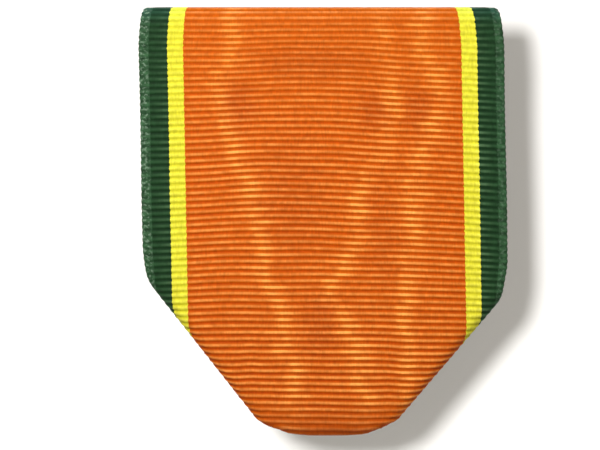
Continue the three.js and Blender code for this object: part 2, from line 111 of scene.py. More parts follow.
def smooth(value, low, high):
    t = np.clip((value - low) / (high - low), 0, 1)
    return t * t * (3 - 2 * t)


def bell(value, middle, width):
    return np.exp(-(((value - middle) / width) ** 2))


TURN = 6.28  # about one full turn, in radians
SWELLS = 6  # sine waves in a ripple
SWELL_SUM = 3.2  # what their sum seldom passes


def ripple(a, b, seed, size_a, size_b):
    """Smooth random swell between about -1 and 1, with the given sizes along a and b."""
    rng = np.random.default_rng(seed)
    total = 0.0
    for _ in range(SWELLS):
        across, along, shift = rng.uniform(-1, 1), rng.uniform(-1, 1), rng.uniform(0, TURN)
        total = total + np.sin(TURN * (a * across / size_a + b * along / size_b) + shift)
    return total / SWELL_SUM


def mesh_object(name, points_mm, faces):
    """A smooth-shaded mesh in the scene, from points in millimetres."""
    mesh = bpy.data.meshes.new(name)
    mesh.from_pydata((np.asarray(points_mm) * MM).tolist(), [], [tuple(face) for face in faces])
    mesh.polygons.foreach_set("use_smooth", [True] * len(mesh.polygons))
    made = bpy.data.objects.new(name, mesh)
    bpy.context.scene.collection.objects.link(made)
    return made


def mesh_piece(name, points_mm, faces, body):
    """The same, as a piece of the object that rides on the body."""
    piece = mesh_object(name, points_mm, faces)
    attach(piece, body)
    return piece


def grid_faces(grid):
    """Quads between neighbours in a grid of point numbers."""
    corners = [grid[:-1, :-1], grid[:-1, 1:], grid[1:, 1:], grid[1:, :-1]]
    return np.stack(corners, axis=-1).reshape(-1, 4)


def ring_faces(rings):
    """The same, where each row of the grid is a closed ring."""
    return grid_faces(np.hstack([rings, rings[:, :1]]))


# ---- path of the strip

PATH_STEP = 0.05  # between the points of an arc
LEAST_STEPS = 8
EASE_POINTS = 24
RISE_START = 0.1  # above the middle of the bottom turn, where the back ply starts to ease in
STEP_OVER = (2.2, 0.4)  # below the leg's end, where the back ply steps over it
BOTTOM_PART_Z = BOTTOM_Z + 2.1  # the bottom turn starts here on the front ...
BOTTOM_PART_END = BOTTOM_Z + 5.6  # ... and ends here on the back
ROUND_HALF = 2.0  # the channel is round this far to either side of its middle ...
FLAT_HALF = 4.6  # ... and pressed flat from here on


def arc(centre, radius, start, end):
    steps = max(LEAST_STEPS, int(abs(end - start) * radius / PATH_STEP))
    angle = np.linspace(start, end, steps + 1)
    return np.column_stack([centre[0] + radius * np.cos(angle), centre[1] + radius * np.sin(angle)])


def ease(start, end):
    t = np.linspace(0, 1, EASE_POINTS)
    y = start[0] + (end[0] - start[0]) * smooth(t, 0, 1)
    return np.column_stack([y, start[1] + (end[1] - start[1]) * t])


def upper_path():
    bend = LOOP_RADIUS - PLY_PITCH
    slot_z = BAR_Z - LOOP_RADIUS
    half = math.pi / 2
    return np.vstack([
        [[LEG_Y, LEG_END_Z]],
        arc((LEG_Y + bend, slot_z - bend), bend, math.pi, half),
        arc((BAR_Y, BAR_Z), LOOP_RADIUS, -half, math.pi)[1:],
        [[FRONT_Y, BOTTOM_PART_Z]],
    ])


def bottom_path(radius):
    ring = (FRONT_Y + radius, BOTTOM_Z + CLOTH / 2 + radius)
    rise_start = (ring[0] + radius, ring[1] + RISE_START)
    return np.vstack([
        [[FRONT_Y, BOTTOM_PART_Z]],
        arc(ring, radius, math.pi, 2 * math.pi),
        ease(rise_start, (LEG_Y, BOTTOM_PART_END)),
    ])


def back_path():
    return np.vstack([
        [[LEG_Y, BOTTOM_PART_END]],
        ease((LEG_Y, LEG_END_Z - STEP_OVER[0]), (LAP_Y, LEG_END_Z - STEP_OVER[1])),
        [[LAP_Y, LAP_END_Z]],
    ])


class Stretch:
    """A run of the path, read by the share of its own length."""

    def __init__(self, points):
        steps = np.hypot(*np.diff(points, axis=0).T)
        keep = np.concatenate([[True], steps > 1e-9])
        self.points = points[keep]
        self.along = np.concatenate([[0], np.cumsum(np.hypot(*np.diff(self.points, axis=0).T))])
        self.length = self.along[-1]

    def at(self, share):
        place = np.clip(share, 0, 1) * self.length
        return [np.interp(place, self.along, self.points[:, k]) for k in (0, 1)]


UPPER = Stretch(upper_path())
ROUND = Stretch(bottom_path(RING_RADIUS))
FLAT = Stretch(bottom_path(FLAT_RADIUS))
BACK = Stretch(back_path())
BOTTOM_START = UPPER.length
BACK_START = BOTTOM_START + ROUND.length
STRIP_LENGTH = BACK_START + BACK.length
TOP_OF_LOOP = UPPER.length - (BAR_Z - BOTTOM_PART_Z) - LOOP_RADIUS * math.pi / 2
SLOT_PLACE = TOP_OF_LOOP - LOOP_RADIUS * math.pi


def place_on_path(x, s):
    """Y and Z of the middle of the strip, s along it, with the ring channel only mid-way."""
    flatness = smooth(np.abs(x), ROUND_HALF, FLAT_HALF)
    upper = UPPER.at(s / UPPER.length)
    share = (s - BOTTOM_START) / ROUND.length
    ring, flat = ROUND.at(share), FLAT.at(share)
    back = BACK.at((s - BACK_START) / BACK.length)
    result = []
    for k in (0, 1):
        bottom = ring[k] * (1 - flatness) + flat[k] * flatness
        value = np.where(s < BOTTOM_START, upper[k], np.where(s < BACK_START, bottom, back[k]))
        result.append(value)
    return result


# ---- ribs

RIB_DEPTH = 0.095
RIB_SHARPNESS = 1.4  # 1 would be a plain sine wave
PITCH_AT_TOP = 0.55
PITCH = 0.615
PITCH_GROWS = (3, 14)  # the ribs widen between these distances from the top fold
SELVEDGE = 0.85
TABLE_POINTS = 4000

# Rows of the mesh in each rib, as shares of the rib, and where the fine ones are used.
FINE_ROWS = (0, 0.1, 0.28, 0.5, 0.72, 0.9)
COARSE_ROWS = (0, 0.2, 0.5, 0.8)
FINE_BEFORE_TOP = 1.5
FINE_PAST_BOTTOM = 3
LEAST_ROW = 0.04  # share of a rib; a row closer to the strip's end is left out

# Columns of the mesh, as distances from the edge: the close ones, then where the even ones start.
EDGE_COLUMNS = (0, 0.07, 0.17, 0.34, 0.58, 0.85, 1.05, 1.45, 2.0)
EVEN_FROM = 2.6
EVEN_COLUMNS = 24

# How far the ribs stray along the strip.
ARCH_RISE = 0.34
ARCH_MIDDLE = -4
ARCH_REACH = 14
ARCH_LOSS = 0.45  # share of the arch that is lost lower down
WAVE = 0.085
SMALL_WAVE = 0.03
HOOK = 0.12  # rise of the ribs near the +X side, low down

# Kinks beside the turned corners: height, place across, width, level, reach.
KINKS = [(-0.10, -7.4, 0.8, -28.5, 3.2), (0.07, 7.3, 0.9, -27.5, 3.0)]


def rib_table():
    """Places along the strip and the count of ribs passed there."""
    s = np.linspace(0, STRIP_LENGTH, TABLE_POINTS)
    drop = s - TOP_OF_LOOP
    pitch = PITCH_AT_TOP + (PITCH - PITCH_AT_TOP) * smooth(np.abs(drop), *PITCH_GROWS)
    middle = (pitch[1:] + pitch[:-1]) / 2
    return s, np.concatenate([[0], np.cumsum(np.diff(s) / middle)])


def rib_rows():
    """Rib count at each row of the mesh, closer together on the front."""
    s, count = rib_table()
    rows = []
    for k in range(int(count[-1]) + 1):
        place = np.interp(k, count, s)
        on_front = TOP_OF_LOOP - FINE_BEFORE_TOP < place < BOTTOM_START + FINE_PAST_BOTTOM
        rows += [k + part for part in (FINE_ROWS if on_front else COARSE_ROWS)]
    rows = [row for row in rows if row < count[-1] - LEAST_ROW] + [count[-1]]
    return np.array(rows), np.interp(rows, count, s)


def columns():
    """Places across the ribbon of the mesh's columns."""
    inner = np.linspace(EVEN_FROM, HALF_WIDTH, EVEN_COLUMNS)
    left = -HALF_WIDTH + np.concatenate([EDGE_COLUMNS, inner])
    return np.concatenate([left, -left[-2::-1]])


def weft_wander(u, s):
    """How far a rib strays along the strip: an arch, slow waves and kinks by the folds."""
    drop = s - TOP_OF_LOOP
    z = TOP_Z - drop
    arch = ARCH_RISE * ((u - ARCH_MIDDLE) / ARCH_REACH) ** 2 * smooth(drop, 0.5, 7)
    arch = arch * (1 - ARCH_LOSS * smooth(drop, 18, 30))
    waves = WAVE * ripple(u, drop, 11, 17, 26) + SMALL_WAVE * ripple(u, drop, 12, 6, 15)
    kinks = 0.0
    for height, across, width, level, reach in KINKS:
        kinks = kinks + height * bell(u, across, width) * bell(z, level, reach)
    hook = -HOOK * smooth(u, 8, 14) * smooth(drop, 22, 32)
    fade = smooth(s, 0, 6) * smooth(STRIP_LENGTH - s, 0, 6)
    shown = smooth(drop, -0.5, 3) * (1 - smooth(s, BOTTOM_START - 0.5, BOTTOM_START + 2))
    return (arch + kinks + hook) * shown + waves * fade * smooth(np.abs(drop), 0.2, 5)


def rib_height(count):
    """Share of the rib depth, 1 on a crest and 0 in a valley."""
    return np.abs(np.sin(math.pi * count)) ** RIB_SHARPNESS


# ---- hanging

LEVEL_HALF = 1.5  # the lower edge is level this far to either side of its middle
RISE_REACH = 2.5  # ... then rises by EDGE_RISE in this distance
EDGE_RISE = 0.36
RISE_END = 3.9
LEAST_RADIUS = 0.02  # of a turned corner's fold
LEAN_LEVELS = (BOTTOM_Z, -20, TOP_Z)
LEAN = (0.45, 0.2, -0.3)  # sideways at those levels
BILLOW = 0.10


def bottom_rise(x, z):
    """How far the lower edge, and the cloth a little above it, rises towards the corners."""
    away = np.clip(np.abs(x) - LEVEL_HALF, 0, RISE_END)
    return EDGE_RISE * (away / RISE_REACH) ** 2 * (1 - smooth(z - BOTTOM_Z, 1.5, 8))


def turn_corner(x, y, z, side):
    """Turns what lies outside the fold line back round it, on one side."""
    fold = FOLDS[side]
    x = x * side
    rel_x, rel_z = x - fold.start[0], z - fold.start[1]
    out = rel_x * fold.out[0] + rel_z * fold.out[1]
    down = rel_x * fold.down[0] + rel_z * fold.down[1]
    radius = np.maximum(FOLD_Y - y, LEAST_RADIUS)
    angle = np.clip(out / radius, 0, math.pi)
    past = np.maximum(out - math.pi * radius, 0)
    new_out = radius * np.sin(angle) - past
    new_y = FOLD_Y - radius * np.cos(angle)
    new_x = fold.start[0] + down * fold.down[0] + new_out * fold.out[0]
    new_z = fold.start[1] + down * fold.down[1] + new_out * fold.out[1]
    turned = out > 0
    return (
        side * np.where(turned, new_x, x),
        np.where(turned, new_y, y),
        np.where(turned, new_z, z),
    )


def hang(x, y, z):
    """The slight lean and billow that every soft piece shares."""
    lean = np.interp(z, LEAN_LEVELS, LEAN)
    free_of_plate = 1 - smooth(z, -8, -1)
    billow = BILLOW * ripple(x, z, 21, 26, 24) * free_of_plate
    return x + lean, y + billow, z


# ---- ribbon

RIB_UNEVENNESS = 0.25
STRETCH = 0.42  # share of the ribs' depth that the top fold stretches out
SELVEDGE_FLATNESS = 0.8  # share of the ribs' depth that the selvedge lacks
SELVEDGE_THINNESS = 0.03
TOP_NARROWING = 0.3
NECK = 0.115  # share of the width by which the cloth is drawn in at the plate's slot
NECK_REACH = 3.2
SCALLOP = 0.05  # how far each rib stands out at the edge
SWAY = 0.06
PULL_WIDTH = 2.4  # of the cloth beside the edge that a turned corner pulls in
PULL_ABOVE = 2.6  # the pull starts this far above the corner ...
PULL_BELOW = 0.6  # ... and is full this far below it
NORMAL_STEP = 0.02  # to either side along the strip, to find which way it faces


def half_thickness(u, count, s):
    """Half the cloth's thickness: ribbed, flatter on the selvedge and thin at the very edge."""
    edge = HALF_WIDTH - np.abs(u)
    on_selvedge = 1 - smooth(edge, SELVEDGE - 0.2, SELVEDGE + 0.15)
    unevenness = 1 + RIB_UNEVENNESS * ripple(u, count, 31, 6, 2.3)
    stretched = 1 - STRETCH * (1 - smooth(np.abs(s - TOP_OF_LOOP), 2, 24))
    depth = RIB_DEPTH * unevenness * stretched * (1 - SELVEDGE_FLATNESS * on_selvedge)
    crest = CLOTH / 2 - SELVEDGE_THINNESS * on_selvedge
    thickness = crest - depth * (1 - rib_height(count))
    return thickness * (0.5 + 0.5 * smooth(edge, -0.05, 0.15))


def place_across(u, count, s):
    """X of the cloth, with its scalloped sides, its neck in the slot and its pulled corners."""
    drop = s - TOP_OF_LOOP
    side = np.sign(u)
    narrow_top = 1 - TOP_NARROWING / HALF_WIDTH * (1 - smooth(drop, 0, 5))
    neck = 1 - NECK * bell(s, SLOT_PLACE, NECK_REACH)
    scallop = SCALLOP * rib_height(count) * smooth(np.abs(u), HALF_WIDTH - 0.3, HALF_WIDTH)
    sway = SWAY * ripple(u * 0, drop, 41, 1, 14) * side * smooth(np.abs(u), 12, 17)
    corner_drop = np.where(u > 0, FOLDS[1].corner_drop, FOLDS[-1].corner_drop)
    pull = np.where(u > 0, FOLDS[1].pull, FOLDS[-1].pull)
    pull = pull * smooth(np.abs(u), HALF_WIDTH - PULL_WIDTH, HALF_WIDTH)
    pull = pull * smooth(drop, corner_drop - PULL_ABOVE, corner_drop + PULL_BELOW)
    return (u + side * (scallop - SCALLOP - pull) + sway) * narrow_top * neck


def ribbon_points(side):
    """Grid of points on one face of the strip: side 1 is the outer face, -1 the inner one."""
    counts, places = rib_rows()
    u, count = np.meshgrid(columns(), counts)
    _, base_s = np.meshgrid(columns(), places)
    past_top = base_s > TOP_OF_LOOP
    rise = bottom_rise(u, place_on_path(u, base_s)[1]) * past_top
    s = np.clip(base_s + weft_wander(u, base_s) + rise, 0, STRIP_LENGTH)

    x = place_across(u, count, s)
    y, z = place_on_path(x, s)
    y0, z0 = place_on_path(x, np.clip(s - NORMAL_STEP, 0, STRIP_LENGTH))
    y1, z1 = place_on_path(x, np.clip(s + NORMAL_STEP, 0, STRIP_LENGTH))
    run = np.hypot(y1 - y0, z1 - z0)
    normal_y, normal_z = (z1 - z0) / run, -(y1 - y0) / run
    offset = side * half_thickness(u, count, s)
    y, z = y + normal_y * offset, z + normal_z * offset

    z = z + bottom_rise(x, z)
    below_plate = s > TOP_OF_LOOP + 10
    for corner in (1, -1):
        turned = turn_corner(x, y, z, corner)
        mask = below_plate & (x * corner > 0)
        x, y, z = (np.where(mask, new, old) for new, old in zip(turned, (x, y, z)))
    x, y, z = hang(x, y, z)
    points = np.stack([x, y, z], axis=-1)
    weave = np.stack([u, count, s - TOP_OF_LOOP], axis=-1)
    return points, weave


def closed_shell_faces(rows, cols):
    """Faces of a closed shell whose outer grid of points is followed by its inner one."""
    outer = np.arange(rows * cols).reshape(rows, cols)
    inner = outer + rows * cols
    rims = [
        (outer[0], inner[0]),
        (inner[-1], outer[-1]),
        (inner[:, 0], outer[:, 0]),
        (outer[:, -1], inner[:, -1]),
    ]
    turned_over = grid_faces(outer)[:, [0, 3, 2, 1]]
    return np.vstack([turned_over, grid_faces(inner), *(grid_faces(np.array(r)) for r in rims)])


def keep_weave(piece, weave):
    """Gives each point its place across, rib count and distance down, for the material."""
    layer = piece.data.attributes.new("weave", "FLOAT_VECTOR", "POINT")
    layer.data.foreach_set("vector", np.array(weave, np.float32).ravel())


def make_ribbon():
    outer, weave = ribbon_points(1)
    inner, _ = ribbon_points(-1)
    rows, cols = outer.shape[:2]
    points = np.vstack([outer.reshape(-1, 3), inner.reshape(-1, 3)])
    faces = closed_shell_faces(rows, cols)
    piece = mesh_piece("ribbon_drape", points, faces, "drape")
    keep_weave(piece, [weave, weave])
    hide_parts("ribbon")
    return piece


ribbon = make_ribbon()

# ---- sewing threads

THREAD_RADIUS = 0.12
THREAD_SIDES = 12
THREAD_LAY = 0.55  # length of one turn of the thread's twist
THREAD_STEP = 0.07
THREAD_TIP = 0.4  # share of the radius at a thread's very ends
SPAN_POINTS = 12  # of a smooth curve, between two of its points
PLIES = 3
PLY_DEPTH = 0.16  # share of the radius lost in the grooves between the plies
STITCH_LENGTH = 2.2
SEAM_STITCHES = 15
STITCH_TILT = 0.07  # each stitch runs this far off the seam's line at its ends
NEEDLE_HOLE = 0.3  # half the gap between two stitches
NEEDLE_DEPTH = 0.24
TACK_STITCHES = 6
TACK_PITCH = 0.68
TACK_START = 1.1
TACK_SLANT = 0.30
TACK_LOW = -0.85  # where a stitch enters the flap, above the flap's edge

FRAY_PITCH = 0.17
FRAY_INSET = 0.3
FRAY_SIDES = 4
FRAY_RADII = (0.045, 0.038, 0.02)
FRAY_WEAVE = (0.5, 60.0)  # on a rib's crest, and far down the strip


def smooth_curve(points, step):
    """A Catmull-Rom curve through the points, read every step millimetres."""
    points = np.asarray(points, float)
    padded = np.vstack([2 * points[0] - points[1], points, 2 * points[-1] - points[-2]])
    t = np.linspace(0, 1, SPAN_POINTS, endpoint=False)[:, None]
    pieces = []
    for p0, p1, p2, p3 in zip(padded, padded[1:], padded[2:], padded[3:]):
        pieces.append(0.5 * (2 * p1 + (p2 - p0) * t + (2 * p0 - 5 * p1 + 4 * p2 - p3) * t**2
                             + (3 * p1 - p0 - 3 * p2 + p3) * t**3))
    dense = np.vstack([*pieces, points[-1:]])
    along = np.concatenate([[0], np.cumsum(np.linalg.norm(np.diff(dense, axis=0), axis=1))])
    places = np.linspace(0, along[-1], max(LEAST_STEPS, int(along[-1] / step)))
    return np.column_stack([np.interp(places, along, dense[:, k]) for k in range(3)]), places


def thread_tube(points, radius):
    """Grid of points round a plied, twisted thread that follows the points."""
    middle, places = smooth_curve(points, THREAD_STEP)
    tangent = np.gradient(middle, axis=0)
    tangent /= np.linalg.norm(tangent, axis=1)[:, None]
    normal = np.zeros_like(middle)
    across = np.cross(tangent[0], [0.1, 1, 0.2])
    for i, direction in enumerate(tangent):
        across = across - direction * across.dot(direction)
        across /= np.linalg.norm(across)
        normal[i] = across
    binormal = np.cross(tangent, normal)
    angle = np.linspace(0, 2 * math.pi, THREAD_SIDES, endpoint=False)
    twist = places[:, None] * 2 * math.pi / THREAD_LAY
    plies = np.abs(np.cos(PLIES / 2 * (angle[None, :] - twist)))
    lobes = radius * (1 - PLY_DEPTH + PLY_DEPTH * plies)
    from_end = np.minimum(places, places[-1] - places)
    lobes = lobes * np.minimum(1, THREAD_TIP + from_end * 4)[:, None]
    ring = (normal[:, None, :] * np.cos(angle)[None, :, None]
            + binormal[:, None, :] * np.sin(angle)[None, :, None])
    grid = middle[:, None, :] + ring * lobes[:, :, None]
    return np.stack(hang(grid[..., 0], grid[..., 1], grid[..., 2]), axis=-1), places


def plied_thread(name, runs, radius):
    """One piece made of a closed thread along each run of points."""
    points, faces, along = [], [], []
    for run in runs:
        grid, places = thread_tube(run, radius)
        rows, sides = grid.shape[:2]
        rings = sum(map(len, points)) + np.arange(rows * sides).reshape(rows, sides)
        faces += [*ring_faces(rings), rings[0][::-1], rings[-1]]
        points.append(grid.reshape(-1, 3))
        along.append(np.repeat(places, sides))
    piece = mesh_piece(name, np.vstack(points), faces, "drape")
    layer = piece.data.attributes.new("along", "FLOAT", "POINT")
    layer.data.foreach_set("value", np.concatenate(along).astype(np.float32))
    return piece


def seam(name, node):
    """A row of lock stitches that press into the cloth at each needle hole."""
    low, high = box_mm(node)
    z = (low[2] + high[2]) / 2
    face = LAP_Y + CLOTH / 2
    start = -SEAM_STITCHES * STITCH_LENGTH / 2
    points = []
    for i in range(SEAM_STITCHES):
        x = start + i * STITCH_LENGTH
        points += [
            (x, face - NEEDLE_DEPTH, z - STITCH_TILT),
            (x + NEEDLE_HOLE, face + THREAD_RADIUS * 0.45, z - STITCH_TILT * 0.8),
            (x + STITCH_LENGTH * 0.5, face + THREAD_RADIUS * 1.15, z),
            (x + STITCH_LENGTH - NEEDLE_HOLE, face + THREAD_RADIUS * 0.45, z + STITCH_TILT * 0.8),
        ]
    points.append((start + SEAM_STITCHES * STITCH_LENGTH, face - NEEDLE_DEPTH, z))
    piece = plied_thread(name, [points], THREAD_RADIUS)
    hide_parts(node)
    return piece


def turned_back(x, z, radius, fold):
    """Where a flat point of the corner lands once it is turned back on a fold of that radius."""
    rel = np.array([x, z]) - fold.start
    out, down = rel @ fold.out, rel @ fold.down
    return fold.start + down * fold.down - (out - math.pi * radius) * fold.out


def flap_tack(name, node, side):
    """Slanted overcast stitches from the flap's edge down to the ply behind the drape."""
    rng = np.random.default_rng(7 if side > 0 else 8)
    fold = FOLDS[side]
    outer_radius = FOLD_OUTER - CLOTH / 2
    corner = turned_back(HALF_WIDTH, BOTTOM_Z + CLOTH / 2, outer_radius, fold)
    edge = turned_back(HALF_WIDTH, fold.corner_z, outer_radius, fold) - corner
    edge /= np.linalg.norm(edge)
    up = np.array([-edge[1], edge[0]])
    on_outer = FOLD_Y + FOLD_OUTER + THREAD_RADIUS * 0.8
    on_inner = on_outer - PLY_PITCH
    on_back = on_inner - PLY_PITCH
    step = -(fold.out @ up) * math.pi * PLY_PITCH
    runs = []
    for i in range(TACK_STITCHES):
        along = TACK_START + i * TACK_PITCH + rng.uniform(-0.06, 0.06)
        slant = TACK_SLANT + rng.uniform(-0.06, 0.06)
        low = TACK_LOW + rng.uniform(-0.12, 0.12)
        # each point: share of the slant, rise from the flap's edge, and place rearward
        profile = [
            (-0.15, low - 0.05, on_outer - 0.3),
            (-0.12, low + 0.06, on_outer),
            (-0.05, -0.2, on_outer + 0.05),
            (0.0, 0.12, on_outer - 0.02),
            (0.2, 0.5, on_inner + 0.22),
            (0.45, step + 0.05, on_inner + 0.1),
            (0.65, step + 0.42, on_back + 0.3),
            (0.9, step + 0.8, on_back + 0.03),
            (0.95, step + 0.92, on_back - 0.3),
        ]
        run = []
        for lean, rise, y in profile:
            p = corner + edge * (along + slant * lean) + up * rise
            run.append((side * p[0], y, p[1]))
        runs.append(run)
    piece = plied_thread(name, runs, THREAD_RADIUS)
    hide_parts(node)
    return piece


def lap_fray(name):
    """Cut ends of warp yarns that stand out of the lapped end of the strip."""
    rng = np.random.default_rng(5)
    points, faces, weave = [], [], []
    for u in np.arange(-HALF_WIDTH + FRAY_INSET, HALF_WIDTH - FRAY_INSET, FRAY_PITCH):
        x = u + rng.uniform(-0.05, 0.05)
        y = LAP_Y + rng.uniform(-0.14, 0.14)
        root = np.array([x, y, LAP_END_Z - 0.08])
        reach = rng.uniform(0.1, 0.38)
        tip = root + [rng.uniform(-0.12, 0.12), rng.uniform(-0.05, 0.05), reach]
        middle = (root + tip) / 2 + [rng.uniform(-0.05, 0.05), rng.uniform(-0.04, 0.04), 0]
        first = len(points)
        for centre, size in zip((root, middle, tip), FRAY_RADII):
            for k in range(FRAY_SIDES):
                turn = k * 2 * math.pi / FRAY_SIDES
                points.append(centre + [size * math.cos(turn), size * math.sin(turn), 0])
                weave.append((u, *FRAY_WEAVE))
        rings = np.arange(first, len(points)).reshape(-1, FRAY_SIDES)
        faces += [*ring_faces(rings), rings[0][::-1], rings[-1]]
    points = np.stack(hang(*np.array(points).T), axis=-1)
    piece = mesh_piece(name, points, faces, "drape")
    keep_weave(piece, weave)
    return piece


threads = [
    seam("upper_seam_stitches", "upper_seam_thread"),
    seam("lower_seam_stitches", "lower_seam_thread"),
    flap_tack("right_flap_stitches", "right_flap_thread", 1),
    flap_tack("left_flap_stitches", "left_flap_thread", -1),
]

fray = lap_fray("lap_fray")

# ---- material helpers


def srgb(red, green, blue):
    """A colour given as 0 to 255 display values, as the linear colour that a shader takes."""
    values = [v / 255 for v in (red, green, blue)]
    linear = [v / 12.92 if v <= 0.04045 else ((v + 0.055) / 1.055) ** 2.4 for v in values]
    return (*linear, 1.0)


class Shader:
    """A material's node tree, with short calls for the nodes used here."""

    def __init__(self, name):
        self.material = bpy.data.materials.new(name)
        self.material.use_nodes = True
        self.tree = self.material.node_tree
        self.tree.nodes.clear()
        output = self.tree.nodes.new("ShaderNodeOutputMaterial")
        self.surface = self.tree.nodes.new("ShaderNodeBsdfPrincipled")
        self.tree.links.new(self.surface.outputs[0], output.inputs[0])

    def plug(self, socket, value):
        if isinstance(value, bpy.types.NodeSocket):
            self.tree.links.new(value, socket)
        else:
            socket.default_value = value

    def node(self, kind, inputs=(), **settings):
        made = self.tree.nodes.new(kind)
        for key, value in settings.items():
            setattr(made, key, value)
        for key, value in dict(inputs).items():
            self.plug(made.inputs[key], value)
        return made

    def math(self, operation, a, b=0.0, clamp=False):
        settings = {"operation": operation, "use_clamp": clamp}
        return self.node("ShaderNodeMath", {0: a, 1: b}, **settings).outputs[0]

    def plus(self, a, b):
        return self.math("ADD", a, b)

    def minus(self, a, b):
        return self.math("SUBTRACT", a, b)

    def times(self, a, b, clamp=False):
        return self.math("MULTIPLY", a, b, clamp)

    def fit(self, value, low, high, to_low=0.0, to_high=1.0, kind="SMOOTHSTEP"):
        inputs = {"Value": value, 1: low, 2: high, 3: to_low, 4: to_high}
        made = self.node("ShaderNodeMapRange", inputs, interpolation_type=kind)
        return made.outputs["Result"]

    def vector(self, x=0.0, y=0.0, z=0.0):
        return self.node("ShaderNodeCombineXYZ", {0: x, 1: y, 2: z}).outputs[0]

    def noise(self, vector, scale, detail=2.0, roughness=0.5):
        inputs = {"Vector": vector, "Scale": scale, "Detail": detail, "Roughness": roughness}
        return self.node("ShaderNodeTexNoise", inputs).outputs[0]

    def mix(self, factor, a, b, blend="MIX"):
        settings = {"data_type": "RGBA", "blend_type": blend}
        return self.node("ShaderNodeMix", {0: factor, 6: a, 7: b}, **settings).outputs[2]

    def tint(self, base, colour, share=1.0):
        """The base multiplied by the colour, where share is 1."""
        return self.mix(share, base, colour, "MULTIPLY")

    def bands(self, factor, stops):
        """Plain bands of colour, each from its own stop to the next."""
        made = self.node("ShaderNodeValToRGB", {0: factor})
        ramp = made.color_ramp
        ramp.interpolation = "CONSTANT"
        while len(ramp.elements) < len(stops):
            ramp.elements.new(0.5)
        for element, (position, colour) in zip(ramp.elements, stops):
            element.position = position
            element.color = colour
        return made.outputs[0]

    def curve(self, value, points):
        """The value read off a smooth curve through the points, both from 0 to 1."""
        made = self.node("ShaderNodeFloatCurve", {"Value": value})
        line = made.mapping.curves[0]
        while len(line.points) < len(points):
            line.points.new(0.5, 0.5)
        for point, place in zip(line.points, points):
            point.location = place
        made.mapping.update()
        return made.outputs[0]

    def attribute(self, name):
        return self.node("ShaderNodeAttribute", attribute_name=name, attribute_type="GEOMETRY")

    def bump(self, height, strength, distance):
        inputs = {"Height": height, "Strength": strength, "Distance": distance}
        return self.node("ShaderNodeBump", inputs).outputs[0]

    def finish(self, **inputs):
        """The finished material; each input's name is its socket's, with _ for spaces."""
        for key, value in inputs.items():
            self.plug(self.surface.inputs[key.replace("_", " ")], value)
        return self.material


# ---- ribbon material

GREEN_BAND = 2.65
YELLOW_BAND = 1.53
STRIPE_EDGES = [0, SELVEDGE, GREEN_BAND, GREEN_BAND + YELLOW_BAND]
STRIPES_LEFT = [place / (2 * HALF_WIDTH) for place in STRIPE_EDGES]
STRIPES_RIGHT = [1 - place for place in STRIPES_LEFT[:0:-1]]

# Colours of the selvedge, the green, the yellow and the orange, with light and shade painted across
# each rib: in a rib's valley (painted shade), on its flank, near its crest (painted light), and in
# the thin line along the crest that carries a painted highlight.
SHADED_VALLEY = [srgb(34, 62, 38), srgb(16, 40, 19), srgb(193, 186, 38), srgb(175, 66, 0)]
FLANK = [srgb(42, 72, 46), srgb(25, 53, 28), srgb(212, 206, 52), srgb(186, 84, 3)]
LIT_CREST = [srgb(50, 82, 54), srgb(34, 65, 38), srgb(226, 220, 68), srgb(210, 115, 46)]
PAINTED_HIGHLIGHT = [srgb(80, 116, 86), srgb(116, 150, 108), srgb(252, 248, 110), srgb(255, 168, 84)]

# These tints and colours paint light and shade: valley shade low down, shade in duller patches,
# light on the top fold, sheen in the streaks and highlights on the edge fuzz.
LOW_VALLEY_SHADE_TINT = (0.84, 0.78, 0.5, 1)
PATCH_SHADE_TINT = (0.76, 0.66, 0.8, 1)
TOP_FOLD_LIGHT_TINT = (0.92, 1.05, 1.7, 1)
STREAK_SHEEN_COLOUR = srgb(236, 144, 36)
FUZZ_HIGHLIGHT_COLOUR = srgb(140, 166, 142)

FRONT_LENGTH = 42.0  # the front, from the top of the loop down, in the moire curves
LOWER_EDGE = 41.5  # the same way down to the lower edge
STREAK_HALF_WIDTH = 1.6
RIB_SHIFT = 0.73  # apart in the noise, from one rib to the next

# Middles of the light streaks of the watered finish, where sheen is painted on: distance down the
# front, place across.
STREAKS = [
    [(0, -9.2), (5.5, -8.7), (8.2, -9.8), (12.3, -9.2), (15.6, -7.9), (19, -6.7), (23.4, -6.2),
     (26.4, -5.7), (28.8, -4.6), (31.6, -4.3), (36, -3.6), (42, -3.4)],
    [(0, 5.8), (5.5, 5.9), (8.9, 6.8), (11.8, 6.4), (15.6, 5.0), (19, 3.6), (22.9, 3.0),
     (25.8, 1.8), (28.2, 0.1), (29.8, 1.4), (31.8, 2.6), (42, 3.4)],
    [(0, 10.3), (4.1, 9.9), (8.4, 11.1), (11.3, 11.0), (15.6, 9.2), (20, 8.8), (23.8, 8.5),
     (27.7, 7.9), (32.5, 7.5), (36, 7.7), (42, 7.8)],
]

# Painted shade in duller patches between the streaks, and in a band along the lower edge where the
# cloth turns under: (place across, distance down), half sizes, strength.
SHADE_PATCHES = [
    ((-8.2, 10.0), (2.6, 3.4), 0.6),
    ((5.0, 10.5), (2.6, 3.2), 0.55),
    ((9.0, 10.5), (2.0, 3.4), 0.6),
    ((-1.0, 6.0), (8.0, 2.6), 0.4),
    ((-3.0, 19.0), (5.0, 9.0), 0.35),
    ((-0.6, 31.0), (2.6, 4.5), 0.5),
    ((5.5, 22.0), (2.4, 8.0), 0.3),
    ((0.0, 41.6), (11.0, 3.6), 0.75),
]


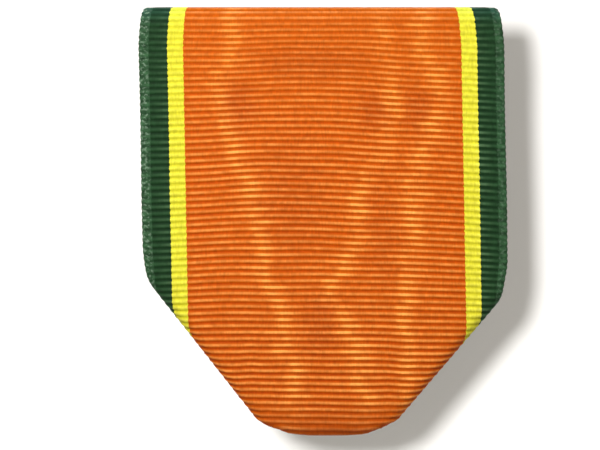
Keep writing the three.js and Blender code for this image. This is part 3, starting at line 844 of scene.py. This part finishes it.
class RibbonCloth(Shader):
    """The watered ribbon. The weave is read once, and each look of it has its own method."""

    def __init__(self):
        super().__init__("watered_ribbon_cloth")
        weave = self.node("ShaderNodeSeparateXYZ", {0: self.attribute("weave").outputs["Vector"]})
        self.u, self.count, self.drop = weave.outputs
        self.off_middle = self.math("ABSOLUTE", self.u)
        self.off_lower_edge = self.math("ABSOLUTE", self.minus(self.drop, LOWER_EDGE))
        self.low_down = self.fit(self.off_lower_edge, 4.0, 17.0, 1.0, 0.0)
        self.in_orange = self.fit(self.off_middle, 12.4, 13.2, 1, 0)

        # place within a rib: 0 in the valleys and 1 on the crest
        self.crest = self.math("SINE", self.times(self.math("FRACT", self.count), math.pi))
        self.level = self.math("POWER", self.crest, 2.0)
        self.rib_number = self.times(self.math("FLOOR", self.count), RIB_SHIFT)

        self.edge_noise = self.noise(self.vector(self.u, self.times(self.count, 3.0)), 1.3)
        self.blur = self.yarn_noise(0.3, 0.18)
        self.strayed = self.plus(self.u, self.stray())
        self.light = self.streaks()

    def yarn_noise(self, across, along):
        """Noise that is finer the larger the factors across and along the ribbon."""
        place = self.vector(self.times(self.u, across), self.times(self.count, along))
        return self.noise(place, 1.0, 2.0)

    def rib_noise(self, across, detail, roughness=0.5):
        """Noise along each rib, with no likeness between one rib and the next."""
        place = self.vector(self.times(self.u, across), self.rib_number)
        return self.noise(place, 1.0, detail, roughness)

    def stripe_place(self):
        """Share of the width; the stripes' edges step out a little on each crest."""
        jut = self.times(self.minus(self.edge_noise, 0.5), 0.14)
        outward = self.times(self.math("SIGN", self.u), self.crest)
        jut = self.minus(jut, self.times(outward, 0.05))
        return self.fit(self.plus(self.u, jut), -HALF_WIDTH, HALF_WIDTH, kind="LINEAR")

    def stray(self):
        """How far the watered finish strays sideways, slowly and from rib to rib."""
        slow = self.times(self.minus(self.blur, 0.5), 1.5)
        rib_by_rib = self.times(self.minus(self.rib_noise(0.1, 1.0), 0.5), 3.4)
        return self.plus(slow, rib_by_rib)

    def streaks(self):
        """1 in the middle of the light streaks of the watered finish, where sheen is painted, 0
        away from them.
        """
        down = self.math("DIVIDE", self.drop, FRONT_LENGTH, clamp=True)
        light = 0.0
        for places in STREAKS:
            line = [(drop / FRONT_LENGTH, u / (2 * HALF_WIDTH) + 0.5) for drop, u in places]
            read = self.curve(down, line)
            centre = self.fit(read, 0, 1, -HALF_WIDTH, HALF_WIDTH, kind="LINEAR")
            away = self.math("ABSOLUTE", self.minus(self.strayed, centre))
            light = self.math("MAXIMUM", light, self.fit(away, 0, STREAK_HALF_WIDTH, 1, 0))
        patchy = self.fit(self.blur, 0.38, 0.62, 0.3, 1.0)
        return self.times(self.times(light, patchy), self.in_orange)

    def painted_highlight(self):
        """How strongly a highlight is painted along the crest: here and there, in the streaks and
        beside the yellow.
        """
        uneven = self.rib_noise(0.35, 4.0, 0.6)
        chance = self.times(self.fit(uneven, 0.38, 0.66, 0.0, 0.36), self.in_orange)
        by_yellow = self.fit(self.off_middle, 14.6, 16.5, 0.42, 0.02)
        by_yellow = self.times(by_yellow, self.fit(self.u, -1, 1, 0.5, 1.0))
        by_yellow = self.times(by_yellow, self.fit(self.off_middle, 14.4, 14.8))
        lively = self.times(by_yellow, self.fit(uneven, 0.3, 0.65, 0.15, 1.0))
        strength = self.plus(chance, self.times(self.light, 0.95))
        strength = self.plus(strength, lively)
        strength = self.plus(strength, self.times(self.low_down, 0.1))
        thin_line = self.fit(self.crest, 0.66, 1.0)
        return self.times(thin_line, strength, clamp=True)

    def rib_colours(self):
        """The stripes, with shade painted into each rib's valleys, light onto its crest and a
        highlight painted along it.
        """
        place = self.stripe_place()
        valley, flank, crest, painted_highlight = (
            self.bands(place, list(zip(STRIPES_LEFT + STRIPES_RIGHT, [*colours, *colours[2::-1]])))
            for colours in (SHADED_VALLEY, FLANK, LIT_CREST, PAINTED_HIGHLIGHT)
        )
        # painted shade in the valleys, painted light towards the crests
        base = self.mix(self.fit(self.level, 0.0, 0.5, kind="LINEAR"), valley, flank)
        base = self.mix(self.fit(self.level, 0.5, 1.0, kind="LINEAR"), base, crest)
        # a painted highlight in a thin line along the crest
        base = self.mix(self.painted_highlight(), base, painted_highlight)

        # the painted valley shade is deepest low down, and the painted light and shade across the
        # ribs are evened out where the folds pull them flat
        low_valley_shade = self.times(self.low_down, self.fit(self.level, 0.0, 0.6, 1.0, 0.0))
        base = self.tint(base, LOW_VALLEY_SHADE_TINT, low_valley_shade)
        flat = self.fit(self.drop, 4.0, 13.0, 0.35, 0.0)
        flat = self.math("MAXIMUM", flat, self.fit(self.off_lower_edge, 1.0, 3.0, 0.45, 0.0))
        return self.mix(flat, base, flank)

    def watered(self, base):
        """The base with painted sheen, a warm cast, in the light streaks and painted shade in
        duller patches beside them.
        """
        # painted sheen in the light streaks
        base = self.mix(self.times(self.light, 0.1), base, STREAK_SHEEN_COLOUR)
        for (across, down), (half_across, half_down), amount in SHADE_PATCHES:
            reach_u = self.math("DIVIDE", self.minus(self.strayed, across), half_across)
            reach_d = self.math("DIVIDE", self.minus(self.drop, down), half_down)
            inputs = {0: self.vector(reach_u, reach_d)}
            reach = self.node("ShaderNodeVectorMath", inputs, operation="LENGTH")
            # painted shade in each patch
            patch = self.fit(reach.outputs["Value"], 0.2, 1.0, amount, 0)
            base = self.tint(base, PATCH_SHADE_TINT, patch)
        return base

    def worn(self, base):
        """The base with painted light on the top fold, dulled and paled there, uneven at the sides,
        with pale specks there painted as highlights on fibre fuzz.
        """
        off_top_fold = self.math("ABSOLUTE", self.plus(self.drop, 0.2))
        # painted light: the top fold's colour is dulled and paled for how the light falls on it
        base = self.tint(base, TOP_FOLD_LIGHT_TINT, self.fit(off_top_fold, 0.9, 2.8, 1.0, 0.0))

        rough_edge = self.fit(self.off_middle, HALF_WIDTH - 1.6, HALF_WIDTH - 0.5, 0.12, 0.42)
        spread = self.fit(self.yarn_noise(1.7, 1.3), 0.3, 0.7, -1, 1, kind="LINEAR")
        spots = self.plus(self.times(spread, rough_edge), 1.0)
        base = self.tint(base, self.vector(spots, spots, spots))

        # painted highlights: pale specks of fibre fuzz along the sides, more at the left
        on_edge = self.fit(self.off_middle, HALF_WIDTH - 1.0, HALF_WIDTH - 0.6)
        more_at_left = self.fit(self.u, -1, 1, 0.5, 0.16)
        specks = self.fit(self.yarn_noise(3.2, 2.1), 0.48, 0.7)
        rubbed = self.times(specks, self.times(on_edge, more_at_left))
        return self.mix(rubbed, base, FUZZ_HIGHLIGHT_COLOUR)


def ribbon_material():
    cloth = RibbonCloth()
    base = cloth.worn(cloth.watered(cloth.rib_colours()))

    # warp yarns show as fine grain down the ribbon
    grain = cloth.yarn_noise(6.0, 0.8)
    fine = cloth.fit(grain, 0.25, 0.75, 0.88, 1.12, kind="LINEAR")
    base = cloth.tint(base, cloth.vector(fine, fine, fine))
    height = cloth.plus(grain, cloth.times(cloth.edge_noise, 0.5))
    normal = cloth.bump(height, 0.4, 0.04 * MM)
    return cloth.finish(Base_Color=base, Roughness=0.6, Specular_IOR_Level=0.04, Normal=normal)


ribbon_cloth = ribbon_material()
ribbon.data.materials.append(ribbon_cloth)
fray.data.materials.append(ribbon_cloth)


def thread_material(name, colour):
    thread = Shader(name)
    along = thread.attribute("along").outputs["Fac"]
    fibres = thread.noise(thread.vector(thread.times(along, 14.0)), 1.0, 3.0)
    dark = tuple(0.7 * c for c in colour[:3]) + (1,)
    base = thread.mix(fibres, dark, colour)
    return thread.finish(Base_Color=base, Roughness=0.6, Sheen_Weight=0.08)


thread_look = thread_material("sewing_thread", srgb(222, 116, 44))
for thread in threads:
    thread.data.materials.append(thread_look)

# ---- metal pieces

SAME_POINT = 1e-7  # points of the solid this close, in metres, are one
FLAT_ANGLE = math.radians(1)
SHARP_ANGLE = math.radians(32)


def softened(node, name, body, width):
    """The node's solid with its sharp edges broken by a small bevel, as polishing leaves them."""
    solid = bmesh.new()
    solid.from_mesh(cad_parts[node].data)
    bmesh.ops.remove_doubles(solid, verts=solid.verts, dist=SAME_POINT)
    bmesh.ops.dissolve_limit(
        solid, angle_limit=FLAT_ANGLE, verts=solid.verts, edges=solid.edges
    )
    sharp = [e for e in solid.edges if e.is_manifold and e.calc_face_angle() > SHARP_ANGLE]
    bevelled = bmesh.ops.bevel(
        solid, geom=sharp, offset=width * MM, offset_type="OFFSET", segments=2, profile=0.6,
        affect="EDGES", clamp_overlap=True,
    )
    solid.faces.index_update()
    worn_faces = {face.index for face in bevelled["faces"]}
    mesh = bpy.data.meshes.new(name)
    solid.to_mesh(mesh)
    solid.free()
    layer = mesh.attributes.new("worn", "FLOAT", "FACE")
    layer.data.foreach_set("value", [float(i in worn_faces) for i in range(len(mesh.polygons))])
    mesh.polygons.foreach_set("use_smooth", [True] * len(mesh.polygons))
    piece = bpy.data.objects.new(name, mesh)
    bpy.context.scene.collection.objects.link(piece)

    # shade the broad faces flat and let only the narrow bevels turn the light
    weighted = piece.modifiers.new("normals", "WEIGHTED_NORMAL")
    weighted.weight = 100
    evaluated = piece.evaluated_get(bpy.context.evaluated_depsgraph_get())
    final = bpy.data.meshes.new_from_object(evaluated)
    piece.modifiers.clear()
    piece.data = final
    final.name = name

    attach(piece, body)
    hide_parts(node)
    return piece


SOLDER_REACH = 0.36
SOLDER_UNEVENNESS = 0.10
SOLDER_STEPS = 14  # along each side of a foot

# Section of the bead: share of its reach out from the foot, and height over the plate.
SOLDER_SECTION = [
    (-0.08, -0.04), (1.0, -0.04), (0.8, 0.03), (0.5, 0.09), (0.22, 0.2), (-0.08, 0.36),
]


def solder_bead(name, foot_half, centre_x):
    """A slightly uneven fillet of solder round the foot of a soldered fitting."""
    face = plate_high[1]
    corners = np.array([(1, 1), (-1, 1), (-1, -1), (1, -1)])
    shares = np.linspace(0, 1, SOLDER_STEPS, endpoint=False)[:, None]
    sides = [a + (b - a) * shares for a, b in zip(corners, np.roll(corners, -1, axis=0))]
    outline = np.vstack(sides) * foot_half
    swell = ripple(outline[:, 0], outline[:, 1], 61, 1.3, 1.1)
    reach = SOLDER_REACH + SOLDER_UNEVENNESS * swell
    outward = np.sign(outline) * (np.abs(outline) > foot_half * 0.98)
    outward = outward / np.linalg.norm(outward, axis=1)[:, None]
    points = []
    for place, direction, width in zip(outline, outward, reach):
        for out, high in SOLDER_SECTION:
            x, z = place + direction * (out * width)
            points.append((centre_x + x, face + high * (0.6 + width), z))
    rings = np.arange(len(points)).reshape(len(outline), -1)
    faces = ring_faces(np.vstack([rings, rings[:1]]))
    return mesh_piece(name, points, faces, "brooch")


# ---- metal materials


def metal_material(name, colour, tarnish, bright, roughness, brush):
    """Brushed metal, stained and pitted with tarnish and rubbed bright where it is worn."""
    metal = Shader(name)
    place = metal.node("ShaderNodeTexCoord").outputs["Object"]
    stretched = metal.node(
        "ShaderNodeMapping", {"Vector": place, "Scale": tuple(b / MM for b in brush)}
    ).outputs[0]
    lines = metal.noise(stretched, 1.0, 3.0)
    cloud = metal.noise(place, 0.3 / MM, 5.0, 0.62)
    specks = metal.noise(place, 2.4 / MM, 2.0, 0.5)
    stain = metal.fit(cloud, 0.48, 0.72)
    pits = metal.fit(specks, 0.66, 0.74)
    worn = metal.attribute("worn").outputs["Fac"]
    base = metal.mix(metal.times(stain, 0.45), colour, tarnish)
    base = metal.mix(metal.times(pits, 0.4), base, tarnish)
    base = metal.mix(metal.times(worn, 0.7), base, bright)
    rough = metal.fit(lines, 0.2, 0.8, roughness - 0.08, roughness + 0.10)
    rough = metal.plus(rough, metal.times(stain, 0.14))
    rough = metal.minus(rough, metal.times(worn, 0.12))
    height = metal.minus(lines, metal.times(pits, 0.8))
    normal = metal.bump(height, 0.25, 0.012 * MM)
    return metal.finish(Base_Color=base, Metallic=1.0, Roughness=rough, Normal=normal)


# Colour, tarnish, the bright colour of worn edges, roughness, and how fine the brushing is.
METAL_LOOKS = {
    "satin_plate_brass": (
        srgb(206, 164, 88), srgb(128, 86, 40), srgb(232, 200, 130), 0.36, (0.25, 6, 6)
    ),
    "fitting_brass": (
        srgb(198, 156, 84), srgb(112, 76, 38), srgb(230, 196, 126), 0.33, (2, 2, 2)
    ),
    "pin_nickel": (
        srgb(168, 165, 158), srgb(112, 106, 96), srgb(204, 202, 196), 0.27, (0.3, 7, 7)
    ),
    "soft_solder": (
        srgb(176, 146, 92), srgb(104, 80, 48), srgb(190, 162, 110), 0.42, (1, 1, 1)
    ),
}
metals = {name: metal_material(name, *look) for name, look in METAL_LOOKS.items()}

# Node, piece, material slot, body, width of the broken edges, and material.
METAL_PIECES = [
    ("brooch_plate", "stamped_plate", "plate_brass", "brooch", 0.14, "satin_plate_brass"),
    ("joint_bracket", "pin_joint_bracket", "fitting_brass", "brooch", 0.07, "fitting_brass"),
    ("catch_body", "catch_housing", "fitting_brass", "brooch", 0.07, "fitting_brass"),
    ("catch_rotor", "catch_lever", "pin_nickel", "catch", 0.07, "pin_nickel"),
    ("pin_stem", "hinged_stem", "pin_nickel", "pin", 0.05, "pin_nickel"),
    ("joint_rivet", "peened_rivet", "pin_nickel", "brooch", 0.04, "pin_nickel"),
]
for node, name, slot, body, width, metal in METAL_PIECES:
    piece = softened(node, name, body, width)
    piece.data.materials.append(metals[metal])

# Bead, the node that it holds, and half the size of that node's foot across and up.
SOLDERED = [
    ("joint_solder", "joint_bracket", (2.2, 1.7)),
    ("catch_solder", "catch_body", (1.6, 1.9)),
]
for name, node, foot_half in SOLDERED:
    node_low, node_high = box_mm(node)
    bead = solder_bead(name, np.array(foot_half), (node_low[0] + node_high[0]) / 2)
    bead.data.materials.append(metals["soft_solder"])

# ---- stage

scene = bpy.context.scene
scene.view_settings.view_transform = "Standard"

WALL_Y = 265
WALL_TOP = 700
FLOOR_Z = BOTTOM_Z - 66
CORNER_RADIUS = 30  # between the floor and the wall
FAR = 900  # how far the stage reaches
SURROUND_SIDES = 48
GLOW = 0.66  # of the paper's rims
GLOW_MIDDLE = (11, WALL_Y, -19.5)
GLOW_FROM, GLOW_TO = 76, 138  # distances on the paper between which its own glow sets in


def surround_material():
    pale = srgb(228, 228, 228)
    return Shader("pale_surround").finish(
        Base_Color=pale, Roughness=0.9, Emission_Color=pale, Emission_Strength=1.0
    )


def stage_piece(name, points_mm, faces, material):
    piece = mesh_object(name, points_mm, faces)
    piece.data.materials.append(material)
    piece.visible_diffuse = False
    return piece


def paper_material():
    """White paper that glows towards its rims, so that it looks evenly lit from any side."""
    paper = Shader("white_paper")
    place = paper.node("ShaderNodeTexCoord").outputs["Object"]
    middle = tuple(value * MM for value in GLOW_MIDDLE)
    away = paper.node("ShaderNodeVectorMath", {0: place, 1: middle}, operation="DISTANCE")
    glow = paper.fit(away.outputs["Value"], GLOW_FROM * MM, GLOW_TO * MM, 0, GLOW)
    return paper.finish(
        Base_Color=srgb(238, 236, 233),
        Roughness=0.9,
        Emission_Color=(1, 1, 1, 1),
        Emission_Strength=glow,
    )


def sweep():
    """Paper that lies flat and curves up into a wall, as wide as the stage."""
    corner = (WALL_Y - CORNER_RADIUS, FLOOR_Z + CORNER_RADIUS)
    bend = arc(corner, CORNER_RADIUS, -math.pi / 2, 0)
    profile = [(-FAR, FLOOR_Z), *bend, (WALL_Y, WALL_TOP)]
    points = [(x, y, z) for x in (-FAR, FAR) for y, z in profile]
    faces = grid_faces(np.arange(len(points)).reshape(2, -1))
    return stage_piece("backdrop", points, faces, paper_material())


def surround():
    """A pale upright cylinder round the whole stage, which metal can mirror."""
    angles = np.linspace(0, 2 * math.pi, SURROUND_SIDES, endpoint=False)
    points = [
        (FAR * math.cos(a), FAR * math.sin(a), z) for z in (FLOOR_Z - 5, FAR) for a in angles
    ]
    faces = ring_faces(np.arange(len(points)).reshape(2, -1))
    return stage_piece("surround", points, faces, surround_material())


backdrop = sweep()
surround()

# ---- camera

CAMERA_DISTANCE = 135.2
camera = bpy.data.objects.new("camera", bpy.data.cameras.new("camera"))
scene.collection.objects.link(camera)
camera.data.lens = 85
camera.data.sensor_width = 36
camera.data.clip_start = 0.001
camera.data.clip_end = 10
CAMERA_PLACE = np.array([-2.27, ribbon_low[1] - CAMERA_DISTANCE, -13.72])
camera.location = (CAMERA_PLACE * MM).tolist()
camera.rotation_euler = (math.pi / 2, 0, 0)
scene.camera = camera

# ---- light

AIM = np.array([0, -4, -13.5])


def area_light(name, place, size, watts, on_wall, aim=AIM, colour=(1, 1, 1)):
    """A round lamp that lights the backdrop alone if on_wall, and otherwise all but that."""
    light = bpy.data.lights.new(name, "AREA")
    light.shape = "DISK"
    light.size = size * MM
    light.energy = watts
    light.color = colour
    lamp = bpy.data.objects.new(name, light)
    scene.collection.objects.link(lamp)
    place = np.asarray(place, float)
    lamp.location = (place * MM).tolist()
    forward = Vector((np.asarray(aim) - place).tolist())
    lamp.rotation_euler = forward.to_track_quat("-Z", "Y").to_euler()
    lamp.visible_camera = False

    receivers = bpy.data.collections.new(name + "_receivers")
    receivers.objects.link(backdrop)
    if not on_wall:
        receivers.collection_objects[0].light_linking.link_state = "EXCLUDE"
    lamp.light_linking.receiver_collection = receivers


area_light("key_light", (-60, -175, 120), 60, 0.62, on_wall=False, colour=(1.0, 0.985, 0.96))
area_light("rear_light", (-120, 160, 90), 110, 0.5, on_wall=False)

# The ribbon's shadow falls this far beside it, as the camera sees it, with an edge this soft.
SHADOW_SHIFT = np.array([3.0, 0, -2.06])
SHADOW_SOFTNESS = 2.34
WATTS_PER_AREA = 9.7e-6  # for each square millimetre of the camera's distance from the wall
STRAIGHT_BACK = (0, 100, 0)
wall_distance = WALL_Y - CAMERA_PLACE[1]
spread = 1 - CAMERA_DISTANCE / wall_distance
shadow_place = CAMERA_PLACE - SHADOW_SHIFT / spread
shadow_size = SHADOW_SOFTNESS / spread
shadow_aim = shadow_place + STRAIGHT_BACK
wall_watts = WATTS_PER_AREA * wall_distance**2
area_light("shadow_lamp", shadow_place, shadow_size, wall_watts, on_wall=True, aim=shadow_aim)

# A weaker lamp by the camera casts a faint shadow, seen as a rim all round the ribbon.
halo_place = CAMERA_PLACE + (0, -2, 0)
halo_aim = CAMERA_PLACE + STRAIGHT_BACK
area_light("halo_lamp", halo_place, 25, wall_watts / 9, on_wall=True, aim=halo_aim)

world = bpy.data.worlds.new("studio")
world.use_nodes = True
background = world.node_tree.nodes["Background"]
background.inputs[0].default_value = (1, 0.96, 0.88, 1)
background.inputs[1].default_value = 0.37
scene.world = world
